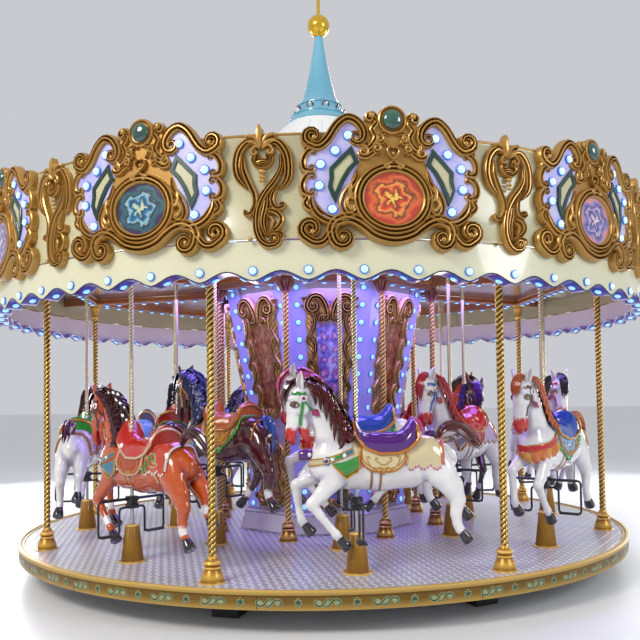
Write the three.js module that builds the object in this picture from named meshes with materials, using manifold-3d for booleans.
// Fairground carousel with sixteen leaping horses, in millimetres, +Z up.
// The origin is on the ground at the centre of the turning axis. An azimuth is measured
// from -Y (the front) towards +X, so a local group turned by its azimuth has -Y outwards.
import * as THREE from "three";
import { mergeVertices } from "three/addons/utils/BufferGeometryUtils.js";
import Module from "manifold-3d";

const wasm = await Module();
wasm.setup();

// Clearances
const GAP = 0.3; // between pieces that touch
const SLIDE_GAP = 0.4; // round a pole or rod in its guide

// Floor frame and platform
const FLOOR_BEAM = { radius: 2760, width: 110, low: 60, high: 160 };
const FLOOR_FOOT = { radius: 2640, width: 220 };
const SLEW_RING = { inner: 420, outer: 640 };
const DECK_TOP = 320;
const DECK_THICKNESS = 80;
const DECK_RADIUS = 3140;
const RIM = { radius: 3200, faceRadius: 3190, bottom: 189, cap: 300, top: 334 };
const DECK_SIDES = 48;

// Columns, all at the same eight azimuths
const BAYS = 8;
const BAY_ANGLE = 360 / BAYS;
const POST_AZIMUTH = -61.7;
const OUTER_POST_RADIUS = 2965;
const INNER_POST_RADIUS = 1250;
const POST_SHAFT = 31;
const POST_TOP = DECK_TOP + 2590;
const POST_SIDES = 8;
const RING_BEAM = { low: DECK_TOP + 2530, width: 70 };

// Centre column: eight sides, widest under the ceiling and narrow at its waist
const COLUMN_AZIMUTH = -18.2;
const COLUMN_WALL = 40;
const COLUMN_PROFILE = [
  [905, 240],
  [880, 460],
  [875, 1290],
  [985, 1820],
  [1128, 2500],
  [1140, 2660],
];
const PLINTH = { top: 225, bottomRadius: 1000, topRadius: 960 };

// Ceiling and canopy
const CEILING = { low: DECK_TOP + 2660, thickness: 20, innerRadius: 300, ribWidth: 80 };
const CANOPY_RADIUS = 3420;
const CANOPY_WALL = 30;
const CANOPY_AZIMUTH = 19.65; // a joint between two rounding boards
const CANOPY_SIDES = 36;
const VALANCE = { trough: DECK_TOP + 2175, peak: DECK_TOP + 2243, top: DECK_TOP + 2460 };
const SCALLOPS = 56;
const SCALLOP_AZIMUTH = -46.53;
const BOARD_TOP = DECK_TOP + 3180;
const QUARTERS = 4; // of the valance and of the board above it
const CRESTS_PER_BOARD = 3;
const CREST_ANGLE = 360 / (QUARTERS * CRESTS_PER_BOARD);
const CREST_AZIMUTH = 8.3;
const HEART_AZIMUTH = CREST_AZIMUTH - CREST_ANGLE / 2;
const MEDALLION_HEIGHT = DECK_TOP + 2730;

// Roof, spire and finial, as [radius, height above the deck]
const ROOF_THICKNESS = 20;
const ROOF_PROFILE = [
  [3415, 3195],
  [2500, 3330],
  [1500, 3650],
  [800, 4050],
  [382, 4500],
];
const SPIRE_PROFILE = [
  [378, 4500 + GAP],
  [385, 4515],
  [290, 4634],
  [240, 4730],
  [185, 4851],
  [147, 5003],
  [97, 5243],
  [46, 5560],
];
const FINIAL = { ball: 5690, radius: 128, rod: 20, top: 6040 };

// Horses and their poles. Heights are those of the foot-rest clamp over the deck.
const HORSE_AZIMUTH = 5.5;
const OUTER_HORSE_RADIUS = 2610;
const INNER_HORSE_RADIUS = 1640;
const CLAMP_MIDDLE = 600;
const OUTER_LIFTS = [-60, -25, 40, 95, 60, 25, -35, -95]; // from the middle, at rest
const POLE = { rod: 16, shaft: 21, rodBelow: 520, above: 2300, shaftFrom: 240 };
const POLE_SIDES = 6;
const CONE_SIDES = 8;
const CONE = { flange: 118, flangeHeight: 8, base: 95, top: 61, height: 311 };
const CLAMP = { halfWidth: 43, halfHeight: 52 };
const STIRRUP = { near: 120, far: 345, drop: 310, rod: 14, plateDepth: 66, plateHeight: 16 };

const colours = {
  steel: { color: 0x3c3f44, roughness: 0.5, metalness: 0.8 },
  deck: { color: 0xd9d3e2, roughness: 0.35, metalness: 0.3 },
  rim: { color: 0xd8b84a, roughness: 0.35, metalness: 0.3 },
  cream: { color: 0xece9d2, roughness: 0.3, metalness: 0 },
  gold: { color: 0xc9952c, roughness: 0.3, metalness: 0.7 },
  bronze: { color: 0x9c6420, roughness: 0.35, metalness: 0.6 },
  lilac: { color: 0xb9b3ea, roughness: 0.4, metalness: 0 },
  mirror: { color: 0xd6d3dd, roughness: 0.12, metalness: 0.8 },
  white: { color: 0xf4f3ef, roughness: 0.2, metalness: 0 },
  blue: { color: 0x6fb4cf, roughness: 0.3, metalness: 0 },
  chestnut: { color: 0xc8481a, roughness: 0.2, metalness: 0 },
  black: { color: 0x1a1a1c, roughness: 0.4, metalness: 0.3 },
};

const carousel = new THREE.Group();

// Shape helpers

function polar(radius, azimuth, z) {
  const angle = THREE.MathUtils.degToRad(azimuth);
  return new THREE.Vector3(radius * Math.sin(angle), -radius * Math.cos(angle), z);
}

// Turns a profile of [radius, height] pairs about +Z, with a corner at the azimuth given.
function turned(profile, sides, azimuth = 0) {
  const points = profile.map(([radius, z]) => new THREE.Vector2(radius, z));
  const start = THREE.MathUtils.degToRad(azimuth);
  return new THREE.LatheGeometry(points, sides, start).rotateX(Math.PI / 2);
}

// A ring of rectangular section.
function ring(inner, outer, low, high, sides, azimuth = 0) {
  const section = [
    [inner, low],
    [outer, low],
    [outer, high],
    [inner, high],
    [inner, low],
  ];
  return turned(section, sides, azimuth);
}

function cylinder(radius, low, high, sides) {
  const section = [
    [0, low],
    [radius, low],
    [radius, high],
    [0, high],
  ];
  return turned(section, sides, 180 / sides);
}

// A box between two corners.
function block(low, high) {
  const size = high.map((value, axis) => value - low[axis]);
  const middle = high.map((value, axis) => (value + low[axis]) / 2);
  return new THREE.BoxGeometry(...size).translate(...middle);
}

// Turns a local geometry to an azimuth about the carousel's axis.
function atAzimuth(geometry, azimuth) {
  return geometry.rotateZ(THREE.MathUtils.degToRad(azimuth));
}

// A closed limb through stations of [x, y, z, half width along y, half depth].
function limb(stations, sides) {
  const centres = stations.map(([x, y, z]) => new THREE.Vector3(x, y, z));
  const positions = [];
  stations.forEach(([, , , width, depth], i) => {
    const before = centres[Math.max(i - 1, 0)];
    const after = centres[Math.min(i + 1, centres.length - 1)];
    const along = after.clone().sub(before).normalize();
    const across = new THREE.Vector3(0, 1, 0).addScaledVector(along, -along.y).normalize();
    const upright = along.clone().cross(across);
    for (let k = 0; k < sides; k++) {
      const angle = (2 * Math.PI * (k + 0.5)) / sides;
      const point = centres[i].clone();
      point.addScaledVector(across, width * Math.cos(angle));
      point.addScaledVector(upright, depth * Math.sin(angle));
      positions.push(point.x, point.y, point.z);
    }
  });
  const index = [];
  const last = (stations.length - 1) * sides;
  for (let start = 0; start < last; start += sides) {
    for (let k = 0; k < sides; k++) {
      const next = (k + 1) % sides;
      index.push(start + k, start + next, start + sides + next);
      index.push(start + k, start + sides + next, start + sides + k);
    }
  }
  for (let k = 1; k < sides - 1; k++) {
    index.push(0, k + 1, k);
    index.push(last, last + k, last + k + 1);
  }
  const geometry = new THREE.BufferGeometry();
  geometry.setAttribute("position", new THREE.Float32BufferAttribute(positions, 3));
  geometry.setIndex(index);
  return geometry;
}

// A plate in the local x-z plane: its outline is [x, z] pairs, its back is at y = 0
// and its front at y = -thickness, towards the outside.
function plate(outline, thickness) {
  const shape = new THREE.Shape(outline.map(([x, z]) => new THREE.Vector2(x, z)));
  const geometry = new THREE.ExtrudeGeometry(shape, { depth: thickness, bevelEnabled: false });
  return geometry.rotateX(Math.PI / 2);
}

function toSolid(geometry) {
  const bare = geometry.clone();
  bare.deleteAttribute("normal");
  bare.deleteAttribute("uv");
  const merged = mergeVertices(bare, 1e-3);
  const corners = merged.index.array;
  const kept = [];
  for (let i = 0; i < corners.length; i += 3) {
    const [a, b, c] = [corners[i], corners[i + 1], corners[i + 2]];
    if (a !== b && b !== c && c !== a) kept.push(a, b, c);
  }
  const triVerts = new Uint32Array(kept);
  const vertProperties = merged.getAttribute("position").array;
  return new wasm.Manifold(new wasm.Mesh({ numProp: 3, vertProperties, triVerts }));
}

function toGeometry(solid) {
  const { vertProperties, triVerts } = solid.getMesh();
  const geometry = new THREE.BufferGeometry();
  geometry.setAttribute("position", new THREE.BufferAttribute(vertProperties, 3));
  geometry.setIndex(new THREE.BufferAttribute(triVerts, 1));
  geometry.computeVertexNormals();
  return geometry;
}

function joined(geometries, cutters = []) {
  const whole = geometries.map(toSolid).reduce((sum, next) => sum.add(next));
  return toGeometry(cutters.map(toSolid).reduce((rest, next) => rest.subtract(next), whole));
}

function addMesh(parent, name, geometry, finish) {
  const mesh = new THREE.Mesh(geometry, new THREE.MeshStandardMaterial(finish));
  mesh.name = name;
  parent.add(mesh);
  return mesh;
}

// Places of the repeated pieces

const bays = Array.from({ length: BAYS }, (_, bay) => bay);
const postAzimuth = (bay) => POST_AZIMUTH + bay * BAY_ANGLE;
const horseAzimuth = (bay) => HORSE_AZIMUTH + bay * BAY_ANGLE;

const horsePlaces = bays.flatMap((bay) => {
  const azimuth = horseAzimuth(bay);
  const lift = OUTER_LIFTS[bay];
  return [
    { azimuth, radius: OUTER_HORSE_RADIUS, clamp: DECK_TOP + CLAMP_MIDDLE + lift },
    { azimuth, radius: INNER_HORSE_RADIUS, clamp: DECK_TOP + CLAMP_MIDDLE - lift },
  ];
});

// Static floor frame: a slewing ring on a hub, with eight arms on feet

function floorFrame() {
  const hubTop = DECK_TOP - DECK_THICKNESS - GAP;
  const parts = [
    ring(SLEW_RING.inner, SLEW_RING.outer, 0, hubTop, 16),
  ];
  for (const bay of bays) {
    const arm = block(
      [-FLOOR_BEAM.width / 2, -FLOOR_BEAM.radius, FLOOR_BEAM.low],
      [FLOOR_BEAM.width / 2, -SLEW_RING.inner - 20, FLOOR_BEAM.high],
    );
    parts.push(atAzimuth(arm, postAzimuth(bay)));
    const { radius, width } = FLOOR_FOOT;
    const foot = block(
      [-width / 2, -radius - width / 2, 0],
      [width / 2, -radius + width / 2, FLOOR_BEAM.low + 5],
    );
    parts.push(atAzimuth(foot, postAzimuth(bay)));
  }
  return joined(parts);
}

// Platform: the floor with its gold cones, which guide the rods under the horses

function cone() {
  const height = CONE.height;
  const section = [
    [0, -2],
    [CONE.flange, -2],
    [CONE.flange, CONE.flangeHeight],
    [CONE.base, CONE.flangeHeight],
    [CONE.top, height],
    [0, height],
  ];
  return turned(section, CONE_SIDES, 180 / CONE_SIDES);
}

function platformDeck() {
  const floor = turned(
    [
      [0, DECK_TOP - DECK_THICKNESS],
      [DECK_RADIUS - GAP, DECK_TOP - DECK_THICKNESS],
      [DECK_RADIUS - GAP, DECK_TOP],
      [0, DECK_TOP],
    ],
    DECK_SIDES,
  );
  const cones = [];
  const bores = [];
  for (const { azimuth, radius } of horsePlaces) {
    const place = polar(radius, azimuth, DECK_TOP);
    const turn = THREE.MathUtils.degToRad(azimuth);
    cones.push(cone().rotateZ(turn).translate(...place));
    const bore = cylinder(POLE.rod + SLIDE_GAP, -DECK_THICKNESS - 5, CONE.height + 5, POLE_SIDES);
    bores.push(bore.rotateZ(turn).translate(...place));
  }
  return joined([floor, ...cones], bores);
}

function platformRim() {
  const section = [
    [DECK_RADIUS, RIM.bottom],
    [RIM.faceRadius, RIM.bottom],
    [RIM.faceRadius, RIM.cap],
    [RIM.radius, RIM.cap + 6],
    [RIM.radius, RIM.top],
    [DECK_RADIUS, RIM.top],
    [DECK_RADIUS, RIM.bottom],
  ];
  return turned(section, DECK_SIDES);
}

// Columns: a turned base, a rope shaft and a capital

function postProfile(capitalRadius) {
  const shaftTop = POST_TOP - 150;
  return [
    [0, DECK_TOP + GAP],
    [100, DECK_TOP + GAP],
    [82, DECK_TOP + 12],
    [56, DECK_TOP + 105],
    [63, DECK_TOP + 140],
    [POST_SHAFT, DECK_TOP + 190],
    [POST_SHAFT, shaftTop],
    [capitalRadius, POST_TOP - 20],
    [capitalRadius, POST_TOP - GAP],
    [0, POST_TOP - GAP],
  ];
}

function innerPostFrame() {
  const parts = bays.map((bay) => {
    const place = polar(INNER_POST_RADIUS, postAzimuth(bay), 0);
    return turned(postProfile(70), POST_SIDES, postAzimuth(bay)).translate(...place);
  });
  const half = RING_BEAM.width / 2;
  const beam = ring(
    INNER_POST_RADIUS - half,
    INNER_POST_RADIUS + half,
    RING_BEAM.low,
    POST_TOP - GAP,
    BAYS,
    POST_AZIMUTH,
  );
  return joined([...parts, beam]);
}

// Centre column: a shell of eight panels that stands on its plinth

function columnShell() {
  const outer = COLUMN_PROFILE.map(([radius, z]) => [radius, DECK_TOP + z]);
  outer[0][1] = DECK_TOP + PLINTH.top + GAP;
  outer.at(-1)[1] = CEILING.low - GAP;
  const inner = outer.map(([radius, z]) => [radius - COLUMN_WALL, z]).reverse();
  return turned([...outer, ...inner, outer[0]], BAYS, COLUMN_AZIMUTH);
}

function columnPlinth() {
  const low = DECK_TOP + GAP;
  const high = DECK_TOP + PLINTH.top;
  const inner = COLUMN_PROFILE[0][0] - 3 * COLUMN_WALL;
  const section = [
    [inner, low],
    [PLINTH.bottomRadius, low],
    [PLINTH.topRadius, high - 40],
    [COLUMN_PROFILE[0][0] + 10, high],
    [inner, high],
    [inner, low],
  ];
  return turned(section, BAYS, COLUMN_AZIMUTH);
}

// Ceiling: a flat panel over radial and ring beams, with a guide hole for each pole

function ceiling() {
  const outerRadius = CANOPY_RADIUS - CANOPY_WALL - GAP;
  const high = CEILING.low + CEILING.thickness;
  const half = CEILING.ribWidth / 2;
  const parts = [
    ring(CEILING.innerRadius, outerRadius, CEILING.low, high, CANOPY_SIDES, CANOPY_AZIMUTH),
  ];
  for (const radius of [INNER_POST_RADIUS, OUTER_POST_RADIUS]) {
    parts.push(ring(radius - half, radius + half, POST_TOP, high - 5, BAYS, POST_AZIMUTH));
  }
  for (const bay of bays) {
    const rib = block(
      [-half, -outerRadius + 15, POST_TOP],
      [half, -INNER_POST_RADIUS, high - 5],
    );
    parts.push(atAzimuth(rib, postAzimuth(bay)));
  }
  const guides = horsePlaces.map(({ azimuth, radius }) => {
    const hole = cylinder(POLE.shaft + SLIDE_GAP, CEILING.low - 5, high + 5, POLE_SIDES);
    const turn = THREE.MathUtils.degToRad(azimuth);
    return hole.rotateZ(turn).translate(...polar(radius, azimuth, 0));
  });
  return joined(parts, guides);
}

// Canopy bands are made in quarters, as they are bolted together

// A quarter of a band; sectionAt gives its section, inner low corner first, at each column.
function bandQuarter(quarter, azimuth, columns, sectionAt) {
  const span = (2 * Math.PI) / QUARTERS;
  const margin = GAP / CANOPY_RADIUS;
  const first = THREE.MathUtils.degToRad(azimuth) + quarter * span;
  const positions = [];
  const index = [];
  for (let column = 0; column <= columns; column++) {
    const inset = column === 0 ? margin : column === columns ? -margin : 0;
    const angle = first + (column * span) / columns + inset;
    for (const [radius, z] of sectionAt(column)) {
      positions.push(radius * Math.sin(angle), -radius * Math.cos(angle), z);
    }
    if (column === columns) break;
    const here = 4 * column;
    for (let corner = 0; corner < 4; corner++) {
      const next = (corner + 1) % 4;
      index.push(here + corner, here + 4 + corner, here + 4 + next);
      index.push(here + corner, here + 4 + next, here + next);
    }
  }
  const end = 4 * columns;
  index.push(0, 1, 2, 0, 2, 3);
  index.push(end, end + 2, end + 1, end, end + 3, end + 2);
  const geometry = new THREE.BufferGeometry();
  geometry.setAttribute("position", new THREE.Float32BufferAttribute(positions, 3));
  geometry.setIndex(index);
  return geometry;
}

// Valance: its lower edge hangs in scallops
function valance(quarter) {
  const inner = CANOPY_RADIUS - CANOPY_WALL;
  const columns = (2 * SCALLOPS) / QUARTERS;
  return bandQuarter(quarter, SCALLOP_AZIMUTH, columns, (column) => {
    const low = column % 2 ? VALANCE.peak : VALANCE.trough;
    return [
      [inner, low],
      [CANOPY_RADIUS, low],
      [CANOPY_RADIUS, VALANCE.top - GAP],
      [inner, VALANCE.top - GAP],
    ];
  });
}

// Rounding boards: a quarter of the drum with three crests and three hearts

const CREST_WING = [
  [0, -312],
  [215, -275],
  [370, -325],
  [610, -285],
  [668, -190],
  [560, -110],
  [650, 210],
  [600, 490],
  [310, 600],
  [120, 520],
  [0, 520],
];
const WING_TANGENT = 330;
const CREST_CLEARANCE = 16; // lets the corners of the cut pass the round valance
const WING = { back: -35, front: 40 };
const MEDALLION = { radius: 272, front: 75, sides: 10 };
const JEWEL = { height: 545, radius: 104, front: 85, sides: 8 };
const HEART_OUTLINE = [
  [20, 440],
  [190, 240],
  [170, 30],
  [70, -70],
  [110, -200],
  [40, -400],
  [-110, -420],
  [-190, -60],
  [-190, 200],
];
const HEART = { middle: MEDALLION_HEIGHT + 90, front: 45 };

// A disc that faces outwards at a height on the drum.
function roundel(radius, z, front, sides) {
  const disc = cylinder(radius, 0, front + 25, sides).rotateX(Math.PI / 2);
  return disc.translate(0, -CANOPY_RADIUS + 25, z);
}

function crest() {
  const wings = [1, -1].map((side) => {
    const outline = CREST_WING.map(([x, z]) => [side * (x - WING_TANGENT), z]);
    if (side < 0) outline.reverse();
    const wing = plate(outline, WING.front - WING.back);
    wing.translate(0, -CANOPY_RADIUS - WING.back, MEDALLION_HEIGHT);
    return wing.rotateZ((side * WING_TANGENT) / CANOPY_RADIUS);
  });
  return [
    ...wings,
    roundel(MEDALLION.radius, MEDALLION_HEIGHT, MEDALLION.front, MEDALLION.sides),
    roundel(JEWEL.radius, MEDALLION_HEIGHT + JEWEL.height, JEWEL.front, JEWEL.sides),
  ];
}

function heart() {
  const outline = [...HEART_OUTLINE].reverse();
  const panel = plate(outline, HEART.front + 20);
  return panel.translate(0, -CANOPY_RADIUS + 20, HEART.middle);
}

function roundingBoard(board) {
  const inner = CANOPY_RADIUS - CANOPY_WALL;
  const section = [
    [inner, VALANCE.top],
    [CANOPY_RADIUS, VALANCE.top],
    [CANOPY_RADIUS, BOARD_TOP],
    [inner, BOARD_TOP],
  ];
  const columns = CANOPY_SIDES / QUARTERS;
  const drum = bandQuarter(board, CANOPY_AZIMUTH, columns, () => section);

  const parts = [drum];
  for (let i = 0; i < CRESTS_PER_BOARD; i++) {
    const turn = (board * CRESTS_PER_BOARD + i + 1) * CREST_ANGLE;
    for (const piece of crest()) parts.push(atAzimuth(piece, CREST_AZIMUTH + turn));
    parts.push(atAzimuth(heart(), HEART_AZIMUTH + turn));
  }
  // The crests hang down in front of the valance, clear of its face.
  const clearOfValance = ring(
    inner - 200,
    CANOPY_RADIUS + CREST_CLEARANCE,
    VALANCE.trough,
    VALANCE.top - GAP / 2,
    CANOPY_SIDES,
    CANOPY_AZIMUTH,
  );
  // Above the board they stand free, in front of the eaves.
  const clearOfEaves = ring(
    inner - 200,
    CANOPY_RADIUS,
    BOARD_TOP + GAP / 2,
    BOARD_TOP + 400,
    CANOPY_SIDES,
    CANOPY_AZIMUTH,
  );
  return joined(parts, [clearOfValance, clearOfEaves]);
}

// Roof: a thin shell that rests on the boards and rises steeply to the spire

function roofCone() {
  const outer = ROOF_PROFILE.map(([radius, z]) => [radius, DECK_TOP + z]);
  const inner = outer.map(([radius, z]) => [radius - ROOF_THICKNESS, z - ROOF_THICKNESS]);
  inner[0][1] = BOARD_TOP + GAP;
  const [collarRadius, collarHeight] = outer.at(-1);
  inner[inner.length - 1] = [collarRadius - 2 * ROOF_THICKNESS, collarHeight];
  const eaves = [outer[0][0], BOARD_TOP + GAP];
  return turned([eaves, ...outer, ...inner.reverse(), eaves], CANOPY_SIDES / 2, CANOPY_AZIMUTH);
}

function spire() {
  const outer = SPIRE_PROFILE.map(([radius, z]) => [radius, DECK_TOP + z]);
  const low = outer[0][1];
  const high = outer.at(-1)[1];
  return turned([[0, low], ...outer, [0, high]], 16);
}

function finial() {
  const low = DECK_TOP + SPIRE_PROFILE.at(-1)[1] + GAP;
  const middle = DECK_TOP + FINIAL.ball;
  const top = DECK_TOP + FINIAL.top;
  const arc = [-70, -45, -15, 15, 45, 75].map((latitude) => {
    const angle = THREE.MathUtils.degToRad(latitude);
    return [FINIAL.radius * Math.cos(angle), middle + FINIAL.radius * Math.sin(angle)];
  });
  const rod = [
    [FINIAL.rod, arc.at(-1)[1]],
    [FINIAL.rod, top],
    [0, top],
  ];
  return turned([[0, low], [arc[0][0], low], ...arc, ...rod], 10);
}

// Horse poles: lower rod, clamp, shaft and the two stirrup loops beside the clamp

function horsePole() {
  const top = POLE.above;
  const core = turned(
    [
      [0, -POLE.rodBelow],
      [POLE.rod, -POLE.rodBelow],
      [POLE.rod, POLE.shaftFrom],
      [POLE.shaft, POLE.shaftFrom + 5],
      [POLE.shaft, top],
      [0, top],
    ],
    POLE_SIDES,
    180 / POLE_SIDES,
  );
  const half = CLAMP.halfWidth;
  const clamp = block([-half, -half, -CLAMP.halfHeight], [half, half, CLAMP.halfHeight]);
  const loops = [-1, 1].map(stirrup);
  return joined([core, clamp, ...loops]);
}

// A rectangular loop of rod beside the clamp, whose lower bar carries the foot plate.
function stirrup(side) {
  const { near, far, drop, rod, plateDepth, plateHeight } = STIRRUP;
  const high = CLAMP.halfHeight - 15;
  const low = high - drop;
  const sorted = (a, b) => [Math.min(side * a, side * b), Math.max(side * a, side * b)];
  const bar = (from, to, bottom, top, depth) => {
    const [yLow, yHigh] = sorted(from, to);
    return block([-depth / 2, yLow, bottom], [depth / 2, yHigh, top]);
  };
  const pieces = [
    bar(CLAMP.halfWidth - 5, far, high - rod, high, rod),
    bar(far - rod, far, low, high, rod),
    bar(near, near + rod, low, -high + rod, rod),
    bar(CLAMP.halfWidth - 5, near + rod, -high, -high + rod, rod),
    bar(near, far, low, low + plateHeight, plateDepth),
  ];
  return joined(pieces);
}

// Horse, in its own frame: the pole is the local z axis, the clamp is at z = 0,
// the head points to -x and the outside of the carousel is -y.

const HORSE_BODY = [
  [-325, 0, 330, 80, 95],
  [-220, 0, 315, 165, 200],
  [520, 0, 320, 178, 205],
];
const HORSE_NECK = [
  [-120, 0, 400, 125, 175],
  [-230, 0, 640, 85, 155],
  [-345, 0, 880, 64, 120],
  [-440, 0, 900, 64, 90],
  [-490, 0, 470, 45, 62],
];
const HORSE_LEGS = [
  [
    [-200, -95, 230, 72, 95],
    [-370, -100, 20, 42, 50],
    [-185, -100, -225, 32, 38],
    [-105, -100, -330, 48, 48],
  ],
  [
    [-230, 95, 270, 72, 95],
    [-475, 100, 150, 42, 50],
    [-436, 100, -130, 30, 36],
    [-350, 100, -245, 48, 48],
  ],
  [
    [610, -90, 330, 85, 150],
    [735, -92, 100, 58, 100],
    [800, -95, -190, 32, 40],
    [870, -95, -310, 48, 48],
  ],
];
// The outer horses leap with a flying tail. The inner ones, which follow each other closely,
// gather the far hind leg under the belly and let the tail hang.
const LEAPING = {
  rump: [760, 0, 320, 80, 110],
  farHindLeg: [
    [620, 90, 340, 85, 150],
    [765, 92, 140, 58, 100],
    [860, 95, -50, 32, 40],
    [925, 95, -160, 48, 48],
  ],
  tail: [
    [680, 0, 470, 45, 50],
    [860, 0, 560, 55, 50],
    [1045, 0, 400, 15, 15],
  ],
};
const GATHERED = {
  rump: [720, 0, 320, 80, 110],
  farHindLeg: [
    [560, 90, 330, 85, 140],
    [450, 95, 120, 58, 85],
    [480, 95, -40, 36, 46],
    [320, 95, -235, 30, 34],
    [250, 95, -300, 46, 46],
  ],
  tail: [
    [640, 0, 470, 45, 45],
    [700, 0, 440, 42, 42],
    [722, 0, 340, 38, 38],
    [712, 0, 220, 32, 32],
    [698, 0, 110, 14, 14],
  ],
};
const HORSE_SADDLE = [
  [40, 0, 500, 150, 60],
  [430, 0, 530, 150, 95],
];

function horse({ rump, farHindLeg, tail }) {
  const parts = [
    limb([...HORSE_BODY, rump], 6),
    limb(HORSE_NECK, 5),
    ...[...HORSE_LEGS, farHindLeg].map((stations) => limb(stations, 4)),
    limb(tail, 4),
    limb(HORSE_SADDLE, 4),
  ];
  const low = -DECK_TOP;
  const bore = cylinder(POLE.shaft + GAP, low, POLE.above, POLE_SIDES);
  return joined(parts, [bore]);
}

// Assembly

addMesh(carousel, "base_frame", floorFrame(), colours.steel);
addMesh(carousel, "platform_deck", platformDeck(), colours.deck);
addMesh(carousel, "platform_rim", platformRim(), colours.rim);
addMesh(carousel, "column_plinth", columnPlinth(), colours.cream);
addMesh(carousel, "centre_column", columnShell(), colours.lilac);
addMesh(carousel, "inner_post_frame", innerPostFrame(), colours.bronze);

for (const bay of bays) {
  const post = turned(postProfile(55), POST_SIDES);
  const mesh = addMesh(carousel, `outer_post_${bay + 1}`, post, colours.gold);
  mesh.position.copy(polar(OUTER_POST_RADIUS, postAzimuth(bay), 0));
  mesh.rotation.z = THREE.MathUtils.degToRad(postAzimuth(bay));
}

addMesh(carousel, "ceiling", ceiling(), colours.mirror);
for (let quarter = 0; quarter < QUARTERS; quarter++) {
  addMesh(carousel, `valance_${quarter + 1}`, valance(quarter), colours.cream);
  addMesh(carousel, `rounding_board_${quarter + 1}`, roundingBoard(quarter), colours.bronze);
}
addMesh(carousel, "roof_cone", roofCone(), colours.white);
addMesh(carousel, "spire", spire(), colours.blue);
addMesh(carousel, "finial", finial(), colours.gold);

const poleShape = horsePole();
const horseShapes = [horse(LEAPING), horse(GATHERED)];
horsePlaces.forEach(({ azimuth, radius, clamp }, place) => {
  const mount = new THREE.Group();
  mount.position.copy(polar(radius, azimuth, clamp));
  mount.rotation.z = THREE.MathUtils.degToRad(azimuth);
  carousel.add(mount);
  addMesh(mount, `horse_pole_${place + 1}`, poleShape, colours.black);
  const finish = place % 3 ? colours.white : colours.chestnut;
  addMesh(mount, `horse_${place + 1}`, horseShapes[place % 2], finish);
});

export default carousel;
